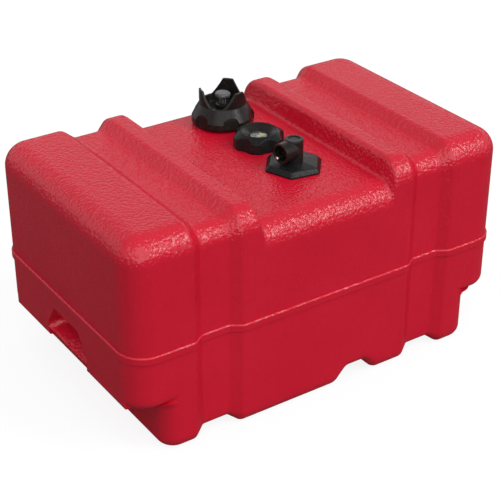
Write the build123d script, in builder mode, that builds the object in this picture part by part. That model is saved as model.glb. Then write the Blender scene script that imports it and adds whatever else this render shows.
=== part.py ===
from build123d import *
import math
import os

# Portable outboard fuel tank with a fill cap, a float gauge and a fuel pickup. Millimetres.
# +X runs along the tank, -Y is its front, +Z is up, and the origin is the middle of its underside.

os.makedirs("parts", exist_ok=True)

# ---- Tank: overall sizes and wall
tank_length = 570.0
tank_width = 348.0
tank_height = 305.0
wall = 5.0
corner_radius = 35.0
top_edge_radius = 31.0
bottom_edge_radius = 17.0

# ---- Deck that the fittings stand on, sunk between two ridges
deck_drop = 28.0
deck_half_length = 97.0
deck_riser_run = 7.0
riser_head_rounding = 8.0
deck_corner_rounding = 5.0

# ---- Strap channels, which run right round the tank
channel_centre = 164.0
channel_floor = 38.0
channel_wall_run = 15.5
channel_top_drop = 12.5
channel_side_depth = 10.0
channel_bottom_rise = 12.5
channel_mouth_rounding = 9.0
channel_corner_rounding = 8.0
channel_radius_step = 7.0
riser_stations = 6

# ---- Lifting ledges and hand-holds at both ends
ledge_height = 73.5
ledge_overhang = 41.0
ledge_edge_radius = 12.0
ledge_blend_radius = 14.0
ledge_blend_stations = 5
foot_blend_length = 44.0
foot_blend_inset = 0.5
foot_corner_radius = 25.0
foot_overlap = 24.0
hold_depth = 30.0
hold_low = 80.0
hold_high = 122.0
hold_inner_low = 92.0
hold_inner_high = 124.0
hold_low_width = 120.0
hold_high_width = 66.0
hold_inner_share = 0.73
hold_corner_radius = 7.0
lip_drop = 3.0
lip_depth = 15.0
lip_height = 16.0
lip_inner = 52.0
lip_outer = 148.0
lip_edge_radius = 3.5

# ---- Groove across the underside
groove_centre = 51.0
groove_rise = 22.0
groove_floor = 27.0
groove_wall_run = 21.0
groove_rounding = 7.0
groove_mouth_rounding = 13.0

# ---- Bead round the moulding joint
parting_height = 152.0
bead_height = 11.0
bead_proud = 2.2
bead_chamfer = 1.4

# ---- Fittings: one row on the deck
row_x = 25.0
fill_y = 108.5
gauge_y = 21.0
pickup_y = -59.0
deck_z = tank_height - deck_drop

# ---- Clearances
running_gap = 0.08
slip_gap = 0.1
loose_gap = 0.3

# ---- Threads: each tooth as a share of its lead, and how far it stands off its root
thread_root_share = 0.48
thread_crest_share = 0.27
thread_depth = 1.5
thread_bite = 0.4
fill_lead = 6.0
fill_thread_turns = 1.2
fill_thread_start = 3.2
insert_thread_turns = 0.7
nut_lead = 4.0
gauge_thread_turns = 1.0
gauge_thread_start = 3.2
nut_thread_turns = 0.7

# ---- Necks: outer radius, bore and height above the deck
fill_neck_radius = 31.0
fill_neck_bore = 26.0
fill_neck_height = 12.0
fitting_neck_radius = 25.5
fitting_neck_bore = 20.5
gauge_neck_height = 9.5
gasket_thickness = 2.0
gasket_radius = 25.3

# ---- Fill cap
cap_skirt_overhang = 12.0
cap_low = 4.0
cap_skirt_top = 12.5
cap_rim_height = 30.0
cap_rim_overhang = 1.5
cap_rim_thickness = 3.0
cap_floor = 3.0
insert_low = 4.5
insert_wall = 3.9
insert_disc = 2.5
scallop_count = 6
scallop_angle = 13.1
scallop_width = 22.0
scallop_reach = 9.5
scallop_depth = 3.2
scallop_lean = 12.0
wing_count = 3
wing_angle = 43.1
wing_top = 51.0
wing_middle = 39.5
wing_half_top = 7.3
wing_half_middle = 14.2
wing_half_root = 21.5
wing_corner_radius = 2.5

# ---- Vent valve in the fill cap
vent_travel = 4.0
button_radius = 10.6
button_underside = 38.5
button_top = 43.5
button_edge_radius = 3.0
stem_radius = 2.0
stem_low = 7.0
bush_radius = 6.0
bush_flange_radius = 10.6
bush_flange = 1.5
bush_low = 11.0
sleeve_radius = 9.6
sleeve_bore = 4.9
sleeve_top_gap = 7.5
vent_groove_radius = 0.8
vent_groove_count = 3
vent_disc_radius = 8.0
vent_disc_thickness = 2.0
clip_radius = 4.0
clip_thickness = 1.5
vent_spring_radius = 4.0
vent_spring_wire = 0.5
vent_spring_turns = 6.0

# ---- Float gauge head
ring_radius = 34.6
ring_low = 0.5
ring_shoulder = 14.5
ring_crown = 20.8
ring_crown_radius = 24.2
ring_lip_radius = 23.2
ring_lip_top = 20.4
ring_notch_count = 6
ring_notch_angle = -99.7
ring_notch_radius = 26.0
ring_notch_floor = 31.6
ring_notch_lean = 11.0
flange_radius = 25.0
gauge_plug_radius = 20.2
gauge_plug_low = -6.0
collar_radius = 22.9
collar_top = 20.0
dish_radius = 22.3
window_radius = 11.6
window_top = 13.1
lens_low = 11.7
lens_thickness = 1.4
well_radius = 10.7
dial_low = 8.6
dial_thickness = 0.8
dial_hole_radius = 2.0
pointer_low = 10.0
pointer_thickness = 1.0
pointer_radius = 9.8
pointer_hub_radius = 2.4
pointer_angle = 18.0
pointer_spread = 60.0

# ---- Float, its guide and the twisted strip that turns the pointer
foot_low = 31.0
foot_thickness = 3.0
foot_radius = 18.0
rod_radius = 2.0
rod_offset = 14.5
rod_socket = 5.0
float_radius = 18.5
float_height = 36.0
float_bore = 6.0
float_edge_radius = 3.0
float_head_gap = 1.0
twist_over_travel = 270.0
key_thickness = 2.0
strip_width = 8.0
strip_thickness = 1.0
strip_slot_gap = 0.35
strip_foot_gap = 6.0
strip_head_gap = 5.0
pin_radius = 1.2
pin_rise = 0.2

# ---- Fuel pickup head: hex bushing screwed into a collar welded under the deck
pickup_collar_radius = 24.0
pickup_collar_low = -14.0
shank_radius = 17.0
shank_low = -13.0
shank_thread_start = -10.0
shank_thread_turns = 1.2
collar_thread_turns = 0.9
bush_bore_radius = 8.2
head_low = 0.5
head_base = 2.0
head_hex_radius = 40.5
head_corner_share = 0.14
head_shoulder_radius = 35.5
head_shoulder = 8.0
head_crown_radius = 17.0
head_top = 10.0
head_edge_radius = 1.6
nut_angle = -129.2
pickup_gasket_thickness = 1.5
pickup_gasket_radius = 33.0
retainer_radius = 16.0
retainer_thickness = 2.5
spigot_radius = 7.9
spigot_rise = 5.0
fuel_bore = 3.2
barb_radius = 4.5
barb_length = 12.0
barb_lead_in = 0.6
barb_lead_length = 3.0
elbow_radius = 12.3
elbow_top = 39.5
elbow_cavity_radius = 8.0
elbow_cavity_top = 33.0
elbow_edge_radius = 1.5
top_recess_radius = 8.0
top_recess_depth = 1.0
port_angle = 10.0
port_height = 25.2
port_radius = 13.5
port_root = 3.0
port_reach = 24.5
port_edge_radius = 0.8
socket_radius = 10.5
socket_end = 11.0
seat_end = 9.0
seat_hole_radius = 2.6
chamber_radius = 6.5
chamber_end = 7.5

# ---- Outlet check valve, low in the port
valve_travel = 3.0
valve_drop = 4.0
valve_stem_radius = 1.5
valve_head_radius = 4.6
valve_head = 1.5
valve_seal = 1.0
valve_seal_radius = 4.4
valve_tip_radius = 2.3
valve_tip = 3.4
valve_tip_step = 0.7
valve_tip_nose = 1.1
valve_reach = 31.5
valve_spring_radius = 3.2
valve_spring_wire = 0.5
valve_spring_turns = 5.0

# ---- Pickup tube and filter
tube_radius = 6.2
tube_bore = 4.7
tube_upper_bend = 150.0
tube_lower_bend = 62.0
tube_end = 20.0
tube_bend_radius = 80.0
sump_x = -5.0
filter_radius = 9.0
filter_wall = 1.2
filter_low = wall + loose_gap
filter_top = 36.0
filter_collar = 6.0
filter_window_width = 7.0
filter_window_low = 9.0
filter_window_high = 27.0
filter_window_count = 4


def save(piece, name):
    """Label a finished piece and write its file."""
    piece.part.label = name
    export_step(piece.part, f"parts/{name}.step")


def side_plane(y, x=row_x, z=deck_z):
    """Upright plane through a fitting's axis: local x is the radius, local y the height above z."""
    return Plane(origin=(x, y, z), x_dir=(1, 0, 0), z_dir=(0, -1, 0))


def turn(plane, *points, mode=Mode.ADD):
    """Turn an outline of (radius, height) points about the plane's upright axis."""
    with BuildSketch(plane) as outline:
        with BuildLine():
            Polyline(*points, close=True)
        make_face()
    revolve(outline.sketch, axis=Axis(plane.origin, (0, 0, 1)), mode=mode)


def ring(y, low, high, outer, inner, mode=Mode.ADD):
    """Flat ring on a fitting's axis, between two heights above the deck."""
    with BuildSketch(Plane((row_x, y, deck_z + low))) as outline:
        Circle(outer)
        Circle(inner, mode=Mode.SUBTRACT)
    extrude(outline.sketch, amount=high - low, mode=mode)


def disc(y, low, high, radius, mode=Mode.ADD):
    """Round disc on a fitting's axis, between two heights above the deck."""
    with BuildSketch(Plane((row_x, y, deck_z + low))) as outline:
        Circle(radius)
    extrude(outline.sketch, amount=high - low, mode=mode)


def thread(y, radius, lead, turns, low, outward):
    """One helical ridge on a neck, or inside what screws onto it."""
    crest = thread_depth if outward else -thread_depth
    root = -thread_bite if outward else thread_bite
    half_root = thread_root_share * lead / 2
    half_crest = thread_crest_share * lead / 2
    with BuildLine() as path:
        Helix(lead, lead * turns, radius, center=(row_x, y, deck_z + low))
    with BuildSketch(Plane(origin=path.line @ 0, x_dir=(1, 0, 0), z_dir=path.line % 0)) as tooth:
        with BuildLine():
            Polyline(
                (root, -half_root),
                (crest, -half_crest),
                (crest, half_crest),
                (root, half_root),
                close=True,
            )
        make_face()
    sweep(tooth.sketch, path=path.line, is_frenet=True)


def coil(start, direction, radius, wire, length, turns):
    """Round-wire coil spring along a direction, with its ends half a wire inside its length."""
    with BuildLine() as path:
        Helix((length - 2 * wire) / turns, length - 2 * wire, radius, center=start, direction=direction)
    with BuildSketch(Plane(origin=path.line @ 0, z_dir=path.line % 0)) as section_of_wire:
        Circle(wire)
    sweep(section_of_wire.sketch, path=path.line, is_frenet=True)


# ---- Tank shell
def cross_section(x, half_width, low, high, top_radius, low_radius):
    """Outline of the tank across its length, at x."""
    with BuildSketch(Plane.YZ.offset(x)) as outline:
        with Locations((0, (low + high) / 2)):
            Rectangle(2 * half_width, high - low)
        fillet(outline.vertices().group_by(Axis.Y)[-1], top_radius)
        fillet(outline.vertices().group_by(Axis.Y)[0], low_radius)
    return outline.sketch


def stations(inset):
    """Where the channel and the deck begin and end along X, with every face moved in by inset."""
    deck_end = deck_half_length + 0.8 * inset
    floor_start = channel_centre - channel_floor / 2 - 0.5 * inset
    floor_end = channel_centre + channel_floor / 2 + 0.5 * inset
    return {
        "deck_end": deck_end,
        "riser_end": deck_end + deck_riser_run,
        "mouth_start": floor_start - channel_wall_run,
        "floor_start": floor_start,
        "floor_end": floor_end,
        "mouth_end": floor_end + channel_wall_run,
    }


def riser_line(foot_x, head_x, rounded):
    """Stations (x, drop) up the step from the deck to the ridge, with round corners or sharp ones."""
    if not rounded:
        return [(foot_x, deck_drop), (head_x, 0)]
    slope = math.atan2(deck_drop, deck_riser_run)
    angles = [slope * step / riser_stations for step in range(riser_stations + 1)]
    foot_start = foot_x - deck_corner_rounding * math.tan(slope / 2)
    head_end = head_x + riser_head_rounding * math.tan(slope / 2)
    foot = [
        (
            foot_start + deck_corner_rounding * math.sin(angle),
            deck_drop - deck_corner_rounding * (1 - math.cos(angle)),
        )
        for angle in angles
    ]
    head = [
        (
            head_end - riser_head_rounding * math.sin(angle),
            riser_head_rounding * (1 - math.cos(angle)),
        )
        for angle in reversed(angles)
    ]
    return foot + head


def tank_body(inset, rounded=False):
    """The tank's outer form, with every face moved in by inset."""
    half = tank_width / 2 - inset
    top = tank_height - inset
    top_radius = top_edge_radius - inset
    low_radius = bottom_edge_radius - inset
    full = (half, inset, top, top_radius, low_radius)
    deck = (half, inset, top - deck_drop, top_radius, low_radius)
    channel = (
        half - channel_side_depth,
        inset + channel_bottom_rise,
        top - channel_top_drop,
        top_radius - channel_radius_step,
        low_radius - channel_radius_step,
    )
    at = stations(inset)

    with BuildPart() as foot:
        with BuildSketch(Plane.XY.offset(inset)):
            RectangleRounded(
                tank_length - 2 * ledge_overhang - 2 * inset,
                2 * half,
                foot_corner_radius - inset,
            )
        extrude(amount=ledge_height + foot_overlap)
        fillet(foot.faces().sort_by(Axis.Z)[0].edges(), low_radius)

    with BuildPart() as body:
        with BuildSketch(Plane.XY.offset(ledge_height + inset)):
            RectangleRounded(tank_length - 2 * inset, 2 * half, corner_radius - inset)
        extrude(amount=tank_height - ledge_height - 2 * inset)
        fillet(body.faces().sort_by(Axis.Z)[-1].edges(), top_radius)
        fillet(body.faces().sort_by(Axis.Z)[0].edges(), ledge_edge_radius - inset)
        add(foot.part)
        split(bisect_by=Plane.YZ.offset(at["mouth_end"]), keep=Keep.TOP)
        loft(
            [cross_section(at["mouth_end"], *full), cross_section(at["floor_end"], *channel)],
            ruled=True,
        )
        extrude(cross_section(at["floor_end"], *channel), amount=at["floor_start"] - at["floor_end"])
        loft(
            [cross_section(at["floor_start"], *channel), cross_section(at["mouth_start"], *full)],
            ruled=True,
        )
        riser = riser_line(at["deck_end"], at["riser_end"], rounded)
        extrude(cross_section(at["mouth_start"], *full), amount=riser[-1][0] - at["mouth_start"])
        steps = [cross_section(x, half, inset, top - drop, top_radius, low_radius) for x, drop in riser]
        loft(steps, ruled=not rounded)
        extrude(cross_section(riser[0][0], *deck), amount=-riser[0][0])
        mirror(about=Plane.YZ)
    return body.part


def groove_tool(grow):
    """Bar that cuts the groove across the underside, grown by a wall for the inside."""
    half_floor = groove_floor / 2 + 0.5 * grow
    half_mouth = half_floor + groove_wall_run
    with BuildPart() as bar:
        with BuildSketch(Plane.XZ.offset(-tank_width)):
            with BuildLine():
                Polyline(
                    (groove_centre - half_mouth, 0),
                    (groove_centre - half_floor, groove_rise + grow),
                    (groove_centre + half_floor, groove_rise + grow),
                    (groove_centre + half_mouth, 0),
                    close=True,
                )
            make_face()
        extrude(amount=2 * tank_width)
    return bar.part


def hold_outline(x, low, high, low_width, high_width, grow):
    """Opening of a hand-hold at x: wide at its foot, narrow at its top."""
    with BuildSketch(Plane.YZ.offset(x)) as outline:
        with BuildLine():
            Polyline(
                (-low_width / 2, low),
                (low_width / 2, low),
                (high_width / 2, high),
                (-high_width / 2, high),
                close=True,
            )
        make_face()
        fillet(outline.vertices(), hold_corner_radius)
        offset(amount=grow, kind=Kind.ARC)
    return outline.sketch


def hand_hold(grow):
    """Hollow of the hand-hold in the +X end, grown by a wall for the inside."""
    face = tank_length / 2
    with BuildPart() as hollow:
        loft(
            [
                hold_outline(face + 1, hold_low, hold_high, hold_low_width, hold_high_width, grow),
                hold_outline(
                    face - hold_depth - grow,
                    hold_inner_low,
                    hold_inner_high,
                    hold_low_width * hold_inner_share,
                    hold_high_width * hold_inner_share,
                    grow,
                ),
            ],
            ruled=True,
        )
    return hollow.part


def step_loop(body, x):
    """Edges that lie across the tank at x and at -x."""
    loops = body.edges().filter_by(lambda edge: edge.bounding_box().size.X < 0.001)
    return loops.filter_by(lambda edge: abs(abs(edge.bounding_box().center().X) - x) < 0.01)


def end_lips():
    """Lips under both ends' edges, on either side of the hand-holds."""
    lip_length = lip_outer - lip_inner
    face = tank_length / 2
    with BuildPart() as lip:
        with BuildSketch(Plane.XZ.offset(-lip_outer)) as outline:
            with BuildLine():
                Polyline(
                    (face - lip_depth - lip_drop, ledge_height + lip_height),
                    (face - lip_depth, ledge_height - lip_drop),
                    (face, ledge_height - lip_drop),
                    (face, ledge_height + lip_height),
                    close=True,
                )
            make_face()
            fillet(outline.vertices().group_by(Axis.Y)[0], lip_edge_radius)
        extrude(amount=lip_length)
        with BuildSketch(Plane.XY.offset(ledge_height - lip_drop)):
            RectangleRounded(tank_length, tank_width, corner_radius)
        extrude(amount=lip_drop + lip_height, mode=Mode.INTERSECT)
        mirror(about=Plane.XZ)
        mirror(about=Plane.YZ)
    return lip.part


def groove_loop(body, half_width, height):
    """The two edges along the groove across the underside, at a height above the floor."""
    loops = body.edges().filter_by(Axis.Y)
    loops = loops.filter_by(lambda edge: abs(edge.center().Z - height) < 0.01)
    return loops.filter_by(lambda edge: abs(abs(edge.center().X - groove_centre) - half_width) < 0.01)


def parting_outline(out):
    """Plan of the tank at the parting, with its wall moved out."""
    with BuildSketch() as outline:
        RectangleRounded(tank_length + 2 * out, tank_width + 2 * out, corner_radius + out)
        for side in (-1, 1):
            face_y = side * (tank_width / 2 + out)
            floor_y = face_y - side * channel_side_depth
            for centre in (-channel_centre, channel_centre):
                with BuildLine():
                    Polyline(
                        (centre - channel_floor / 2 - channel_wall_run, face_y),
                        (centre - channel_floor / 2, floor_y),
                        (centre + channel_floor / 2, floor_y),
                        (centre + channel_floor / 2 + channel_wall_run, face_y),
                        close=True,
                    )
                make_face(mode=Mode.SUBTRACT)
        straight = tank_length / 2 - corner_radius - 1
        channel_corners = outline.vertices().filter_by(lambda corner: abs(corner.X) < straight)
        fillet(channel_corners, channel_corner_rounding)
    return outline.sketch


outside = stations(0)
collar_bore = shank_radius + thread_depth + loose_gap
channel_steps = [
    (outside["mouth_start"], channel_mouth_rounding),
    (outside["mouth_end"], channel_mouth_rounding),
    (outside["floor_start"], channel_corner_rounding),
    (outside["floor_end"], channel_corner_rounding),
]
necks = [
    (fill_y, fill_neck_radius, fill_neck_bore, -wall / 2, fill_neck_height),
    (gauge_y, fitting_neck_radius, fitting_neck_bore, -wall / 2, gauge_neck_height),
]

with BuildPart() as bead:
    with BuildSketch(Plane.XY.offset(parting_height - bead_height)):
        add(parting_outline(bead_proud))
    extrude(amount=bead_height)
    chamfer(bead.faces().sort_by(Axis.Z)[0].edges(), bead_chamfer)
    chamfer(bead.faces().sort_by(Axis.Z)[-1].edges(), bead_chamfer)
    with BuildSketch(Plane.XY.offset(parting_height - bead_height)):
        add(parting_outline(-wall / 2))
    extrude(amount=bead_height, mode=Mode.SUBTRACT)

with BuildPart() as cavity:
    add(tank_body(wall))
    add(groove_tool(wall), mode=Mode.SUBTRACT)
    add(hand_hold(wall), mode=Mode.SUBTRACT)
    add(hand_hold(wall).mirror(Plane.YZ), mode=Mode.SUBTRACT)

with BuildPart() as foot_blends:
    blend_centre_x = tank_length / 2 - ledge_overhang + ledge_blend_radius
    for station in range(ledge_blend_stations + 1):
        angle = math.radians(90 * station / ledge_blend_stations)
        blend_z = ledge_height - ledge_blend_radius * (1 - math.sin(angle))
        with BuildSketch(Plane.XY.offset(blend_z)):
            RectangleRounded(
                2 * (blend_centre_x - ledge_blend_radius * math.cos(angle)),
                tank_width - 2 * foot_blend_inset,
                foot_corner_radius,
            )
    loft()
    with BuildSketch(Plane.XY.offset(ledge_height)):
        RectangleRounded(2 * blend_centre_x, tank_width - 2 * foot_blend_inset, foot_corner_radius)
    extrude(amount=wall / 2)
    split(bisect_by=Plane.YZ.offset(blend_centre_x - foot_blend_length), keep=Keep.TOP)
    mirror(about=Plane.YZ)
    add(cavity.part, mode=Mode.SUBTRACT)

with BuildPart() as tank_shell:
    add(tank_body(0, rounded=True))
    add(groove_tool(0), mode=Mode.SUBTRACT)
    fillet(groove_loop(tank_shell, groove_floor / 2, groove_rise), groove_rounding)
    fillet(groove_loop(tank_shell, groove_floor / 2 + groove_wall_run, 0), groove_mouth_rounding)
    add(hand_hold(0), mode=Mode.SUBTRACT)
    add(hand_hold(0).mirror(Plane.YZ), mode=Mode.SUBTRACT)
    add(cavity.part, mode=Mode.SUBTRACT)
    for step_x, rounding in channel_steps:
        fillet(step_loop(tank_shell, step_x), rounding)
    add(foot_blends.part)
    add(bead.part)
    add(end_lips())
    for neck_y, radius, bore, low, high in necks:
        disc(neck_y, low, high, radius)
        disc(neck_y, low - wall, high, bore, mode=Mode.SUBTRACT)
    thread(fill_y, fill_neck_radius, fill_lead, fill_thread_turns, fill_thread_start, outward=True)
    thread(gauge_y, fitting_neck_radius, nut_lead, gauge_thread_turns, gauge_thread_start, outward=True)
    disc(pickup_y, -2 * wall, 0, collar_bore, mode=Mode.SUBTRACT)
save(tank_shell, "tank_shell")

with BuildPart() as pickup_collar:
    ring(pickup_y, pickup_collar_low, -wall, pickup_collar_radius, collar_bore)
    thread(
        pickup_y,
        collar_bore,
        nut_lead,
        collar_thread_turns,
        shank_thread_start - nut_lead / 2,
        outward=False,
    )
save(pickup_collar, "pickup_collar")


# ---- Fill cap: threaded insert, gasket and grip
cap_floor_low = fill_neck_height + gasket_thickness + insert_disc
cap_floor_top = cap_floor_low + cap_floor
cap_radius = fill_neck_radius + cap_skirt_overhang
cap_rim_radius = fill_neck_radius + cap_rim_overhang
cap_cup_radius = cap_rim_radius - cap_rim_thickness
scallop_floor_radius = cap_radius - scallop_depth
insert_bore = fill_neck_radius + thread_depth + loose_gap
insert_radius = insert_bore + insert_wall
insert_disc_low = fill_neck_height + gasket_thickness

with BuildPart() as fill_cap_insert:
    ring(fill_y, insert_low, cap_floor_low, insert_radius, insert_bore)
    ring(fill_y, insert_disc_low, cap_floor_low, insert_bore + slip_gap, bush_radius + slip_gap)
    thread(
        fill_y,
        insert_bore,
        fill_lead,
        insert_thread_turns,
        fill_thread_start + fill_lead / 2,
        outward=False,
    )
save(fill_cap_insert, "fill_cap_insert")

with BuildPart() as fill_cap_gasket:
    ring(fill_y, fill_neck_height, insert_disc_low, insert_bore - loose_gap, fill_neck_bore + slip_gap)
save(fill_cap_gasket, "fill_cap_gasket")

cap_axis = Axis((row_x, fill_y, deck_z), (0, 0, 1))
wing_outward = Vector(1, 0, 0).rotate(Axis.Z, wing_angle)
wing_across = Vector(0, 0, 1).cross(wing_outward)

with BuildPart() as wing:
    ring(fill_y, cap_floor_top, wing_top, cap_rim_radius, cap_cup_radius)
    with BuildSketch(Plane(origin=cap_axis.position, x_dir=wing_across, z_dir=wing_outward)) as wing_face:
        with BuildLine():
            Line((-wing_half_root, cap_floor_top), (wing_half_root, cap_floor_top))
            Line((wing_half_root, cap_floor_top), (wing_half_root, cap_rim_height))
            ThreePointArc(
                (wing_half_root, cap_rim_height),
                (wing_half_middle, wing_middle),
                (wing_half_top, wing_top),
            )
            Line((wing_half_top, wing_top), (-wing_half_top, wing_top))
            ThreePointArc(
                (-wing_half_top, wing_top),
                (-wing_half_middle, wing_middle),
                (-wing_half_root, cap_rim_height),
            )
            Line((-wing_half_root, cap_rim_height), (-wing_half_root, cap_floor_top))
        make_face()
        fillet(wing_face.vertices().group_by(Axis.Y)[-1], wing_corner_radius)
    extrude(amount=cap_radius, mode=Mode.INTERSECT)

with BuildPart() as fill_cap_grip:
    turn(
        side_plane(fill_y),
        (insert_radius + loose_gap, cap_low),
        (cap_radius, cap_low),
        (cap_radius, cap_skirt_top),
        (cap_rim_radius, cap_rim_height),
        (cap_cup_radius, cap_rim_height),
        (cap_cup_radius, cap_floor_top),
        (bush_radius + slip_gap, cap_floor_top),
        (bush_radius + slip_gap, cap_floor_low),
        (insert_radius + loose_gap, cap_floor_low),
    )
    for step in range(scallop_count):
        outward = Vector(1, 0, 0).rotate(Axis.Z, scallop_angle + step * 360 / scallop_count)
        across = Vector(0, 0, 1).cross(outward)
        foot = Vector(row_x, fill_y, deck_z + cap_skirt_top) + outward * scallop_floor_radius
        facing = outward + Vector(0, 0, 1) * math.tan(math.radians(scallop_lean))
        with BuildSketch(Plane(origin=foot, x_dir=across, z_dir=facing)):
            with Locations((0, scallop_reach - scallop_width / 2)):
                Circle(scallop_width / 2)
            with Locations((0, scallop_reach - scallop_width)):
                Rectangle(scallop_width, scallop_width)
        extrude(amount=cap_radius / 2, mode=Mode.SUBTRACT)
    for step in range(wing_count):
        add(wing.part.rotate(cap_axis, step * 360 / wing_count))
save(fill_cap_grip, "fill_cap_grip")


# ---- Vent valve: bush, button, spring, disc and clip
sleeve_top = button_underside - vent_travel - sleeve_top_gap

with BuildPart() as vent_bush:
    turn(
        side_plane(fill_y),
        (stem_radius + running_gap, bush_low),
        (bush_radius, bush_low),
        (bush_radius, cap_floor_top),
        (bush_flange_radius, cap_floor_top),
        (bush_flange_radius, cap_floor_top + bush_flange),
        (sleeve_radius, cap_floor_top + bush_flange),
        (sleeve_radius, sleeve_top),
        (sleeve_bore, sleeve_top),
        (sleeve_bore, cap_floor_top + bush_flange),
        (stem_radius + running_gap, cap_floor_top + bush_flange),
    )
    with BuildSketch(Plane((row_x, fill_y, deck_z + bush_low))):
        with PolarLocations(stem_radius + vent_groove_radius, vent_groove_count):
            Circle(vent_groove_radius)
    extrude(amount=cap_floor_top + bush_flange - bush_low, mode=Mode.SUBTRACT)
save(vent_bush, "vent_bush")

with BuildPart() as vent_button:
    disc(fill_y, button_underside, button_top, button_radius)
    fillet(vent_button.faces().sort_by(Axis.Z)[-1].edges(), button_edge_radius)
    disc(fill_y, stem_low, button_underside, stem_radius)
save(vent_button, "vent_button")

with BuildPart() as vent_spring:
    coil(
        (row_x, fill_y, deck_z + cap_floor_top + bush_flange + vent_spring_wire),
        (0, 0, 1),
        vent_spring_radius,
        vent_spring_wire,
        button_underside - cap_floor_top - bush_flange,
        vent_spring_turns,
    )
save(vent_spring, "vent_spring")

with BuildPart() as vent_disc:
    ring(fill_y, bush_low - vent_disc_thickness, bush_low, vent_disc_radius, stem_radius + slip_gap)
save(vent_disc, "vent_disc")

with BuildPart() as vent_clip:
    clip_top = bush_low - vent_disc_thickness
    ring(fill_y, clip_top - clip_thickness, clip_top, clip_radius, stem_radius + slip_gap)
save(vent_clip, "vent_clip")


# ---- Gauge head: ring, gasket, body, lens and dial
ring_bore = fitting_neck_radius + thread_depth + loose_gap
gauge_flange_low = gauge_neck_height + gasket_thickness

with BuildPart() as gauge_ring:
    turn(
        side_plane(gauge_y),
        (ring_bore, ring_low),
        (ring_radius, ring_low),
        (ring_radius, ring_shoulder),
        (ring_crown_radius, ring_crown),
        (ring_lip_radius, ring_lip_top),
        (ring_lip_radius, ring_shoulder),
        (ring_bore, ring_shoulder),
    )
    for step in range(ring_notch_count):
        outward = Vector(1, 0, 0).rotate(Axis.Z, ring_notch_angle + step * 360 / ring_notch_count)
        across = Vector(0, 0, 1).cross(outward)
        foot = Vector(row_x, gauge_y, deck_z + ring_low) + outward * ring_notch_floor
        leaning = Vector(0, 0, 1).rotate(Axis((0, 0, 0), across), -ring_notch_lean)
        with BuildSketch(Plane(origin=foot, x_dir=across.cross(leaning), z_dir=leaning)):
            with Locations((ring_notch_radius, 0)):
                Circle(ring_notch_radius)
        extrude(amount=2 * ring_crown, both=True, mode=Mode.SUBTRACT)
    thread(
        gauge_y,
        ring_bore,
        nut_lead,
        nut_thread_turns,
        gauge_thread_start + nut_lead / 2,
        outward=False,
    )
save(gauge_ring, "gauge_ring")

with BuildPart() as gauge_gasket:
    ring(gauge_y, gauge_neck_height, gauge_flange_low, gasket_radius, gauge_plug_radius + slip_gap)
save(gauge_gasket, "gauge_gasket")

with BuildPart() as gauge_body:
    turn(
        side_plane(gauge_y),
        (pin_radius + running_gap, gauge_plug_low),
        (gauge_plug_radius, gauge_plug_low),
        (gauge_plug_radius, gauge_flange_low),
        (flange_radius, gauge_flange_low),
        (flange_radius, ring_shoulder),
        (collar_radius, ring_shoulder),
        (collar_radius, collar_top),
        (dish_radius, collar_top),
        (window_radius, window_top),
        (window_radius, lens_low),
        (well_radius, lens_low),
        (well_radius, dial_low),
        (pin_radius + running_gap, dial_low),
    )
    with BuildSketch(Plane((row_x, gauge_y, deck_z + gauge_plug_low))):
        with Locations((0, rod_offset), (0, -rod_offset)):
            Circle(rod_radius + slip_gap)
    extrude(amount=rod_socket, mode=Mode.SUBTRACT)
save(gauge_body, "gauge_body")

with BuildPart() as gauge_lens:
    disc(gauge_y, lens_low, lens_low + lens_thickness, window_radius - slip_gap)
save(gauge_lens, "gauge_lens")

with BuildPart() as gauge_dial:
    ring(gauge_y, dial_low, dial_low + dial_thickness, well_radius - slip_gap, dial_hole_radius)
save(gauge_dial, "gauge_dial")


# ---- Pointer and the twisted spindle under it
foot_top = foot_low + foot_thickness
head_underside = deck_z + gauge_plug_low
float_travel = head_underside - float_head_gap - float_height - foot_top
strip_low = foot_top + strip_foot_gap
strip_high = head_underside - strip_head_gap
twist_rate = twist_over_travel / float_travel
key_middle = foot_top + float_height / 2

with BuildPart() as gauge_pointer:
    with BuildSketch(Plane((row_x, gauge_y, deck_z + pointer_low)).rotated((0, 0, pointer_angle))):
        with BuildLine():
            edge_arc = CenterArc((0, 0), pointer_radius, -pointer_spread / 2, pointer_spread)
            Line((0, 0), edge_arc @ 0)
            Line(edge_arc @ 1, (0, 0))
        make_face()
        Circle(pointer_hub_radius)
        Circle(pin_radius + slip_gap / 2, mode=Mode.SUBTRACT)
    extrude(amount=pointer_thickness)
save(gauge_pointer, "gauge_pointer")

strip = Solid.extrude_linear_with_rotation(
    Rectangle(strip_width, strip_thickness).face(),
    (0, 0, 0),
    (0, 0, strip_high - strip_low),
    twist_rate * (strip_high - strip_low),
)
with BuildPart() as gauge_spindle:
    add(Pos(row_x, gauge_y, strip_low) * Rot(0, 0, -twist_rate * (key_middle - strip_low)) * strip)
    with BuildSketch(Plane((row_x, gauge_y, foot_low + foot_thickness / 2))):
        Circle(pin_radius)
    extrude(amount=strip_low - foot_low - foot_thickness / 2 + pin_radius)
    with BuildSketch(Plane((row_x, gauge_y, strip_high - pin_radius))):
        Circle(pin_radius)
    extrude(amount=deck_z + pointer_low + pointer_thickness + pin_rise - strip_high + pin_radius)
save(gauge_spindle, "gauge_spindle")


# ---- Guide rods, foot and float
with BuildPart() as gauge_rods:
    with BuildSketch(Plane((row_x, gauge_y, foot_low))):
        with Locations((0, rod_offset), (0, -rod_offset)):
            Circle(rod_radius)
    extrude(amount=head_underside + rod_socket - slip_gap - foot_low)
save(gauge_rods, "gauge_rods")

with BuildPart() as gauge_foot:
    with BuildSketch(Plane((row_x, gauge_y, foot_low))):
        Circle(foot_radius)
        Circle(pin_radius + running_gap, mode=Mode.SUBTRACT)
        with Locations((0, rod_offset), (0, -rod_offset)):
            Circle(rod_radius + slip_gap, mode=Mode.SUBTRACT)
    extrude(amount=foot_thickness)
save(gauge_foot, "gauge_foot")

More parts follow.
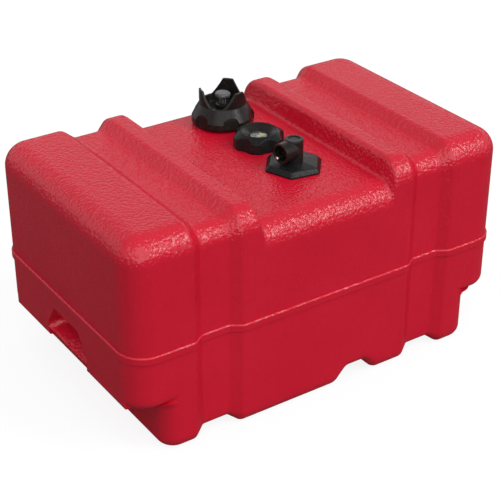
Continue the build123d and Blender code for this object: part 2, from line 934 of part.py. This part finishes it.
with BuildPart() as gauge_float:
    with BuildSketch(Plane((row_x, gauge_y, foot_top))):
        Circle(float_radius)
    extrude(amount=float_height)
    fillet(gauge_float.edges(), float_edge_radius)
    with BuildSketch(Plane((row_x, gauge_y, foot_top))):
        Circle(float_bore)
        with Locations((0, rod_offset), (0, -rod_offset)):
            Circle(rod_radius + running_gap)
    extrude(amount=float_height, mode=Mode.SUBTRACT)
    with BuildSketch(Plane((row_x, gauge_y, key_middle - key_thickness / 2))):
        Circle(float_bore)
        Rectangle(strip_width + 2 * strip_slot_gap, strip_thickness + 2 * strip_slot_gap, mode=Mode.SUBTRACT)
    extrude(amount=key_thickness)
save(gauge_float, "gauge_float")


# ---- Pickup head: hex bushing, gasket, spigot and elbow
def hexagon(radius, height):
    """Hexagon of the bushing's head at a height above the deck."""
    with BuildSketch(Plane((row_x, pickup_y, deck_z + height))) as outline:
        RegularPolygon(radius, 6, rotation=nut_angle)
        fillet(outline.vertices(), radius * head_corner_share)
    return outline.sketch


with BuildPart() as pickup_nut:
    extrude(hexagon(head_hex_radius, head_low), amount=head_base)
    loft([hexagon(head_hex_radius, head_low + head_base), hexagon(head_shoulder_radius, head_shoulder)])
    loft([hexagon(head_shoulder_radius, head_shoulder), hexagon(head_crown_radius, head_top)])
    level_edges = pickup_nut.edges().filter_by(Plane.XY)
    shoulder_z = deck_z + head_shoulder
    fillet(level_edges.filter_by(lambda edge: abs(edge.center().Z - shoulder_z) < 0.01), head_edge_radius)
    disc(pickup_y, head_low, pickup_gasket_thickness, pickup_gasket_radius + loose_gap, mode=Mode.SUBTRACT)
    disc(pickup_y, shank_low, head_top / 2, shank_radius)
    disc(pickup_y, shank_low, head_top, bush_bore_radius, mode=Mode.SUBTRACT)
    thread(pickup_y, shank_radius, nut_lead, shank_thread_turns, shank_thread_start, outward=True)
save(pickup_nut, "pickup_nut")

with BuildPart() as pickup_gasket:
    ring(pickup_y, 0, pickup_gasket_thickness, pickup_gasket_radius, collar_bore + slip_gap)
save(pickup_gasket, "pickup_gasket")

retainer_low = shank_low - retainer_thickness
with BuildPart() as pickup_spigot:
    turn(
        side_plane(pickup_y),
        (fuel_bore, retainer_low - barb_length),
        (barb_radius - barb_lead_in, retainer_low - barb_length),
        (barb_radius, retainer_low - barb_length + barb_lead_length),
        (barb_radius, retainer_low),
        (retainer_radius, retainer_low),
        (retainer_radius, shank_low),
        (spigot_radius, shank_low),
        (spigot_radius, head_top + spigot_rise),
        (fuel_bore, head_top + spigot_rise),
    )
save(pickup_spigot, "pickup_spigot")

port_outward = Vector(-1, 0, 0).rotate(Axis.Z, port_angle)
port_across = Vector(0, 1, 0).rotate(Axis.Z, port_angle)
port = Plane(origin=(row_x, pickup_y, deck_z + port_height), x_dir=port_across, z_dir=port_outward)
valve = Plane(origin=port.origin - Vector(0, 0, valve_drop), x_dir=port_across, z_dir=port_outward)

with BuildPart() as pickup_elbow:
    disc(pickup_y, head_top, elbow_top, elbow_radius)
    fillet(pickup_elbow.faces().sort_by(Axis.Z)[-1].edges(), elbow_edge_radius)
    with BuildSketch(port.offset(port_root)):
        Circle(port_radius)
    extrude(amount=port_reach - port_root)
    fillet(pickup_elbow.faces().sort_by(Axis((0, 0, 0), port_outward))[-1].edges(), port_edge_radius)
    disc(pickup_y, head_top, elbow_cavity_top, elbow_cavity_radius, mode=Mode.SUBTRACT)
    disc(pickup_y, elbow_top - top_recess_depth, elbow_top, top_recess_radius, mode=Mode.SUBTRACT)
    with BuildSketch(port.offset(socket_end)):
        Circle(socket_radius)
    extrude(amount=port_reach - socket_end, mode=Mode.SUBTRACT)
    with BuildSketch(valve.offset(-chamber_end)):
        Circle(chamber_radius)
    extrude(amount=chamber_end + seat_end, mode=Mode.SUBTRACT)
    with BuildSketch(valve.offset(seat_end)):
        Circle(seat_hole_radius)
    extrude(amount=socket_end - seat_end, mode=Mode.SUBTRACT)
save(pickup_elbow, "pickup_elbow")


# ---- Outlet check valve, which lies along the port
valve_side = Plane(origin=valve.origin, x_dir=port_outward, z_dir=port_across)
head_out = seat_end - valve_seal
head_in = head_out - valve_head

with BuildPart() as outlet_poppet:
    with BuildSketch(valve_side):
        with BuildLine():
            Polyline(
                (head_in, 0),
                (head_in, valve_head_radius),
                (head_out, valve_head_radius),
                (head_out, valve_stem_radius),
                (valve_reach - valve_tip, valve_stem_radius),
                (valve_reach - valve_tip + valve_tip_step, valve_tip_radius),
                (valve_reach - valve_tip_nose, valve_tip_radius),
                (valve_reach, valve_stem_radius),
                (valve_reach, 0),
                close=True,
            )
        make_face()
    revolve(axis=Axis(valve.origin, port_outward))
save(outlet_poppet, "outlet_poppet")

with BuildPart() as outlet_seal:
    with BuildSketch(valve.offset(head_out)):
        Circle(valve_seal_radius)
        Circle(valve_stem_radius + slip_gap, mode=Mode.SUBTRACT)
    extrude(amount=valve_seal)
save(outlet_seal, "outlet_seal")

with BuildPart() as outlet_spring:
    coil(
        valve.offset(head_in - valve_spring_wire).origin,
        -port_outward,
        valve_spring_radius,
        valve_spring_wire,
        head_in + chamber_end - valve_travel - loose_gap,
        valve_spring_turns,
    )
save(outlet_spring, "outlet_spring")


# ---- Pickup tube, leaning down to the sump, and its filter
tube_top = deck_z + retainer_low - loose_gap

with BuildPart() as pickup_tube:
    with BuildLine() as tube_path:
        FilletPolyline(
            (row_x, pickup_y, tube_top),
            (row_x, pickup_y, tube_upper_bend),
            (sump_x, pickup_y, tube_lower_bend),
            (sump_x, pickup_y, tube_end),
            radius=tube_bend_radius,
        )
    with BuildSketch(Plane(origin=tube_path.line @ 0, z_dir=tube_path.line % 0)):
        Circle(tube_radius)
        Circle(tube_bore, mode=Mode.SUBTRACT)
    sweep(path=tube_path.line)
save(pickup_tube, "pickup_tube")

with BuildPart() as pickup_filter:
    with BuildSketch(Plane((sump_x, pickup_y, filter_low))):
        Circle(filter_radius)
    extrude(amount=filter_top - filter_low)
    chamfer(pickup_filter.edges(), filter_wall)
    with BuildSketch(Plane((sump_x, pickup_y, filter_low + filter_wall))):
        Circle(filter_radius - filter_wall)
    extrude(amount=filter_top - filter_collar - filter_low - filter_wall, mode=Mode.SUBTRACT)
    with BuildSketch(Plane((sump_x, pickup_y, filter_low + filter_wall))):
        Circle(tube_radius + slip_gap)
    extrude(amount=filter_top - filter_low, mode=Mode.SUBTRACT)
    for step in range(filter_window_count // 2):
        with BuildSketch(Plane((sump_x, pickup_y, filter_window_low)).rotated((0, 0, 90 * step))):
            Rectangle(4 * filter_radius, filter_window_width)
        extrude(amount=filter_window_high - filter_window_low, mode=Mode.SUBTRACT)
save(pickup_filter, "pickup_filter")
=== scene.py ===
import bpy
import math
from mathutils import Matrix, Vector

# Finishes, studio light and camera for a portable outboard fuel tank.
# Lengths are in metres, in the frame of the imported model.

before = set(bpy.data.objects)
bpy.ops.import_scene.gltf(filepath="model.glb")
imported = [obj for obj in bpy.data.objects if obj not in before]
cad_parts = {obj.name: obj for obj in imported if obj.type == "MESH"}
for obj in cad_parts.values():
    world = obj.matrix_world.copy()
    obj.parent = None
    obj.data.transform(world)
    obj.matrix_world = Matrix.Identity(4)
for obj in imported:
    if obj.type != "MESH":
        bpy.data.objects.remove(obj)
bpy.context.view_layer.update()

# ---- Camera: angles in degrees, lengths in metres, focal length in pixels of a 500 pixel wide picture
picture_width = 500.0
focal_pixels = 1361.5
sensor_width = 36.0
camera_azimuth = -33.902
camera_elevation = 29.884
camera_distance = 1.92393
camera_side = -0.00248
camera_rise = 0.11455

# ---- Surroundings: strengths, and the heights on a unit sphere between which the walls turn into the ceiling
world_strength = 0.34
seen_world_strength = 1.0
ceiling_strength = 0.10
ceiling_start = 0.42
ceiling_end = 0.76

# ---- Lamps: direction towards the lamp, strength, apparent width in degrees
lamps = {
    "key_high": ((0.48, -0.50, 0.72), 0.33, 14.0),
    "key": ((0.48, -0.645, 0.59), 0.33, 14.0),
    "key_low": ((0.48, -0.76, 0.43), 0.33, 14.0),
    "fill": ((-0.30, -0.74, 0.60), 1.42, 70.0),
    "overhead": ((0.0, 0.0, 1.0), 0.68, 100.0),
}

# ---- Floor: its size in metres, and how much it reflects and glows
floor_size = 60.0
floor_albedo = 0.16
floor_glow = 0.87
floor_mirrored_glow = 0.02

# ---- Texture settings that several finishes share
pebble_smoothness = 0.6
pebble_reach = 0.8
eased_samples = 6
worn_brightening = 2.2

# ---- Places of the sockets on a Mix node that blends colours
mix_share = 0
mix_from = 6
mix_to = 7
mix_result = 2


def feed(tree, socket, value):
    """Link a socket to another one, or set it to a plain value."""
    if isinstance(value, bpy.types.NodeSocket):
        tree.links.new(value, socket)
    else:
        socket.default_value = value


def maths(tree, operation, *values):
    """Result of a Math node that is fed with sockets or numbers."""
    node = tree.nodes.new("ShaderNodeMath")
    node.operation = operation
    for socket, value in zip(node.inputs, values):
        feed(tree, socket, value)
    return node.outputs["Value"]


def ramp(tree, value, low, high, to_low=0.0, to_high=1.0):
    """Value carried from one range to another, and held at its ends."""
    node = tree.nodes.new("ShaderNodeMapRange")
    feed(tree, node.inputs["Value"], value)
    feed(tree, node.inputs["From Min"], low)
    feed(tree, node.inputs["From Max"], high)
    feed(tree, node.inputs["To Min"], to_low)
    feed(tree, node.inputs["To Max"], to_high)
    return node.outputs["Result"]


def add_camera():
    """Camera at the viewing angle, with its picture plane upright."""
    azimuth = math.radians(camera_azimuth)
    elevation = math.radians(camera_elevation)
    back = Vector((
        math.sin(azimuth) * math.cos(elevation),
        -math.cos(azimuth) * math.cos(elevation),
        math.sin(elevation),
    ))
    right = Vector((math.cos(azimuth), math.sin(azimuth), 0))
    up = back.cross(right)
    data = bpy.data.cameras.new("camera")
    data.sensor_width = sensor_width
    data.lens = sensor_width * focal_pixels / picture_width
    camera = bpy.data.objects.new("camera", data)
    bpy.context.scene.collection.objects.link(camera)
    turned = Matrix((right, up, back)).transposed().to_4x4()
    place = right * camera_side + up * camera_rise + back * camera_distance
    camera.matrix_world = Matrix.Translation(place) @ turned
    bpy.context.scene.camera = camera


def add_lamps():
    """Lamps far enough away to light all of the tank alike: a column of narrow keys and two broad ones."""
    for name, (direction, strength, width) in lamps.items():
        data = bpy.data.lights.new(name, "SUN")
        data.energy = strength
        data.angle = math.radians(width)
        lamp = bpy.data.objects.new(name, data)
        bpy.context.scene.collection.objects.link(lamp)
        lamp.rotation_mode = "QUATERNION"
        lamp.rotation_quaternion = Vector(direction).to_track_quat("Z", "Y")


def add_world():
    """Pale surroundings, seen directly, in gloss or through glass as white walls under a dim ceiling."""
    world = bpy.data.worlds.new("studio")
    bpy.context.scene.world = world
    world.use_nodes = True
    tree = world.node_tree
    ray = tree.nodes.new("ShaderNodeLightPath").outputs
    mirrored = maths(tree, "MAXIMUM", ray["Is Camera Ray"], ray["Is Glossy Ray"])
    seen = maths(tree, "MAXIMUM", mirrored, ray["Is Transmission Ray"])
    direction = tree.nodes.new("ShaderNodeSeparateXYZ")
    feed(tree, direction.inputs[0], tree.nodes.new("ShaderNodeTexCoord").outputs["Generated"])
    walls = ramp(
        tree, direction.outputs["Z"], ceiling_start, ceiling_end, seen_world_strength, ceiling_strength,
    )
    background = tree.nodes["Background"]
    background.inputs["Color"].default_value = (1, 1, 1, 1)
    feed(tree, background.inputs["Strength"], ramp(tree, seen, 0.0, 1.0, world_strength, walls))


def add_floor():
    """Pale floor that shows white where nothing shades it."""
    bpy.ops.mesh.primitive_plane_add(size=floor_size)
    floor = bpy.context.object
    floor.name = "floor"
    material = bpy.data.materials.new("floor")
    material.use_nodes = True
    tree = material.node_tree
    tree.nodes.clear()
    matte = tree.nodes.new("ShaderNodeBsdfDiffuse")
    matte.inputs["Color"].default_value = (floor_albedo, floor_albedo, floor_albedo, 1)
    ray = tree.nodes.new("ShaderNodeLightPath").outputs
    mirrored = maths(tree, "MAXIMUM", ray["Is Glossy Ray"], ray["Is Transmission Ray"])
    mirrored_glow = maths(tree, "MULTIPLY", mirrored, floor_mirrored_glow)
    glow = tree.nodes.new("ShaderNodeEmission")
    level = maths(tree, "MULTIPLY_ADD", ray["Is Camera Ray"], floor_glow, mirrored_glow)
    feed(tree, glow.inputs["Strength"], level)
    both = tree.nodes.new("ShaderNodeAddShader")
    feed(tree, both.inputs[0], matte.outputs[0])
    feed(tree, both.inputs[1], glow.outputs[0])
    output = tree.nodes.new("ShaderNodeOutputMaterial")
    feed(tree, output.inputs["Surface"], both.outputs[0])
    floor.data.materials.append(material)


class Finish:
    """A material in the making: its shader and the chain of relief that feeds its normal."""

    def __init__(self, name, colour, roughness, **sockets):
        self.material = bpy.data.materials.new(name)
        self.material.use_nodes = True
        self.tree = self.material.node_tree
        self.shader = self.tree.nodes["Principled BSDF"]
        self.place = self.tree.nodes.new("ShaderNodeTexCoord").outputs["Object"]
        self.normal = None
        self.shader.inputs["Base Color"].default_value = (*colour, 1)
        self.shader.inputs["Roughness"].default_value = roughness
        for socket, value in sockets.items():
            self.shader.inputs[socket.replace("_", " ")].default_value = value

    def flattened(self, times):
        """Object coordinates in which a texture's features come out that many times lower."""
        mapping = self.tree.nodes.new("ShaderNodeMapping")
        mapping.inputs["Scale"].default_value = (1, 1, times)
        feed(self.tree, mapping.inputs["Vector"], self.place)
        return mapping.outputs["Vector"]

    def noise(self, size, detail=3, place=None):
        """Soft random field with features of a size in metres."""
        node = self.tree.nodes.new("ShaderNodeTexNoise")
        node.inputs["Scale"].default_value = 1 / size
        node.inputs["Detail"].default_value = detail
        feed(self.tree, node.inputs["Vector"], place or self.place)
        return node.outputs["Fac"]

    def pebbles(self, size):
        """Rounded cells, low at their borders and high in the middle."""
        node = self.tree.nodes.new("ShaderNodeTexVoronoi")
        node.feature = "SMOOTH_F1"
        node.inputs["Scale"].default_value = 1 / size
        node.inputs["Smoothness"].default_value = pebble_smoothness
        feed(self.tree, node.inputs["Vector"], self.place)
        return ramp(self.tree, node.outputs["Distance"], 0.0, pebble_reach, 1.0, 0.0)

    def clouds(self, colour, size, start, full, share=1.0, detail=4):
        """Patches of another colour: none where the noise is at start, and a share of it where it is full."""
        mix = self.tree.nodes.new("ShaderNodeMix")
        mix.data_type = "RGBA"
        base = self.shader.inputs["Base Color"]
        before = base.links[0].from_socket if base.links else base.default_value
        feed(self.tree, mix.inputs[mix_from], before)
        mix.inputs[mix_to].default_value = (*colour, 1)
        spread = ramp(self.tree, self.noise(size, detail), start, full, 0.0, share)
        feed(self.tree, mix.inputs[mix_share], spread)
        feed(self.tree, base, mix.outputs[mix_result])

    def uneven_gloss(self, field, smoothest, roughest, start=0.3, full=0.7):
        """Roughness that follows a field, from smoothest at start to roughest where it is full."""
        roughness = ramp(self.tree, field, start, full, smoothest, roughest)
        feed(self.tree, self.shader.inputs["Roughness"], roughness)

    def relief(self, field, depth, socket="Normal"):
        """Bumps whose height in metres is depth times a field, on top of those made before."""
        bump = self.tree.nodes.new("ShaderNodeBump")
        bump.inputs["Distance"].default_value = depth
        feed(self.tree, bump.inputs["Height"], field)
        if self.normal:
            feed(self.tree, bump.inputs["Normal"], self.normal)
        self.normal = bump.outputs["Normal"]
        feed(self.tree, self.shader.inputs[socket], self.normal)

    def eased(self, radius):
        """Sharp edges shaded as if they were rounded."""
        node = self.tree.nodes.new("ShaderNodeBevel")
        node.samples = eased_samples
        node.inputs["Radius"].default_value = radius
        self.normal = node.outputs["Normal"]
        feed(self.tree, self.shader.inputs["Normal"], self.normal)

    def on(self, *nodes):
        """Give the finish to frame nodes."""
        for name in nodes:
            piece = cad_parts[name]
            piece.data.materials.clear()
            piece.data.materials.append(self.material)


def red_polyethylene():
    """Moulded red skin: satin, slightly cloudy, with fine pebbles in its gloss."""
    finish = Finish(
        "red_polyethylene", (0.58, 0.004, 0.024), roughness=0.6,
        Specular_IOR_Level=0.05, Coat_Weight=0.43, Coat_Roughness=0.22, Coat_IOR=1.8,
    )
    finish.clouds((0.61, 0.006, 0.028), size=0.09, start=0.35, full=0.70, detail=3)
    finish.clouds((0.54, 0.003, 0.020), size=0.012, start=0.50, full=0.75, share=0.35)
    finish.relief(finish.noise(size=0.03, detail=2), depth=0.0004)
    finish.relief(finish.pebbles(size=0.0041), depth=0.00085, socket="Coat Normal")
    return finish


def black_moulding(name, colour, roughness):
    """Black moulded plastic with an even grain and worn, greyer patches."""
    finish = Finish(name, colour, roughness, Specular_IOR_Level=0.20)
    finish.eased(radius=0.0018)
    worn = [worn_brightening * part for part in colour]
    finish.clouds(worn, size=0.006, start=0.45, full=0.75, share=0.6)
    finish.uneven_gloss(finish.noise(size=0.004), smoothest=roughness - 0.07, roughest=roughness + 0.10)
    finish.relief(finish.noise(size=0.0014, detail=2), depth=0.00022)
    return finish


def grey_button():
    """Grey moulded button with a soft shine."""
    finish = Finish("grey_button", (0.075, 0.072, 0.078), roughness=0.25)
    finish.eased(radius=0.0006)
    finish.clouds((0.11, 0.105, 0.115), size=0.004, start=0.4, full=0.7, share=0.6, detail=3)
    finish.relief(finish.noise(size=0.0009), depth=0.00005)
    return finish


def nitrile_rubber():
    """Dull black rubber with a faint bloom."""
    finish = Finish("nitrile_rubber", (0.018, 0.018, 0.018), roughness=0.75)
    finish.clouds((0.045, 0.045, 0.045), size=0.005, start=0.4, full=0.8)
    finish.relief(finish.noise(size=0.0006), depth=0.00008)
    return finish


def turned_steel(name, colour, roughness):
    """Steel with fine, level marks."""
    finish = Finish(name, colour, roughness, Metallic=1.0)
    marks = finish.noise(size=0.0004, place=finish.flattened(times=6))
    finish.uneven_gloss(marks, smoothest=roughness - 0.06, roughest=roughness + 0.12)
    finish.relief(marks, depth=0.00002)
    return finish


def clear_window():
    """Clear moulded window with a faint haze."""
    finish = Finish(
        "clear_window", (0.95, 0.97, 0.97), roughness=0.08,
        Transmission_Weight=1.0, IOR=1.49, Specular_IOR_Level=0.12,
    )
    haze = finish.noise(size=0.003, detail=4)
    finish.uneven_gloss(haze, smoothest=0.04, roughest=0.16, start=0.4, full=0.8)
    finish.relief(finish.noise(size=0.002, detail=2), depth=0.00002)
    return finish


def pale_plastic(name, colour, deeper):
    """Natural or coloured pale plastic, clouded with a deeper shade."""
    finish = Finish(name, colour, roughness=0.45)
    finish.clouds(deeper, size=0.008, start=0.4, full=0.8, share=0.7)
    finish.uneven_gloss(finish.noise(size=0.003), smoothest=0.38, roughest=0.56)
    finish.relief(finish.noise(size=0.001), depth=0.00006)
    return finish


bpy.context.scene.view_settings.view_transform = "Standard"
add_camera()
add_lamps()
add_world()
add_floor()

red_polyethylene().on("tank_shell", "pickup_collar")
black_moulding("black_plastic", (0.0125, 0.0100, 0.0090), 0.20).on(
    "fill_cap_grip", "fill_cap_insert", "vent_bush", "gauge_body", "pickup_elbow",
)
black_moulding("black_nylon", (0.0095, 0.0090, 0.0095), 0.20).on("gauge_ring", "pickup_nut")
grey_button().on("vent_button")
nitrile_rubber().on("fill_cap_gasket", "vent_disc", "gauge_gasket", "pickup_gasket", "outlet_seal")
turned_steel("bright_steel", (0.62, 0.62, 0.63), 0.22).on(
    "gauge_rods", "gauge_spindle", "outlet_poppet", "vent_clip",
)
turned_steel("spring_wire", (0.20, 0.20, 0.21), 0.35).on("vent_spring", "outlet_spring")
clear_window().on("gauge_lens")
black_moulding("dark_dial", (0.012, 0.012, 0.013), 0.5).on("gauge_dial")
pale_plastic("yellow_pointer", (0.85, 0.66, 0.06), (0.78, 0.56, 0.04)).on("gauge_pointer")
pale_plastic("white_float", (0.76, 0.74, 0.68), (0.66, 0.63, 0.55)).on("gauge_float", "gauge_foot")
pale_plastic("natural_tube", (0.78, 0.77, 0.71), (0.70, 0.68, 0.60)).on("pickup_tube", "pickup_filter")
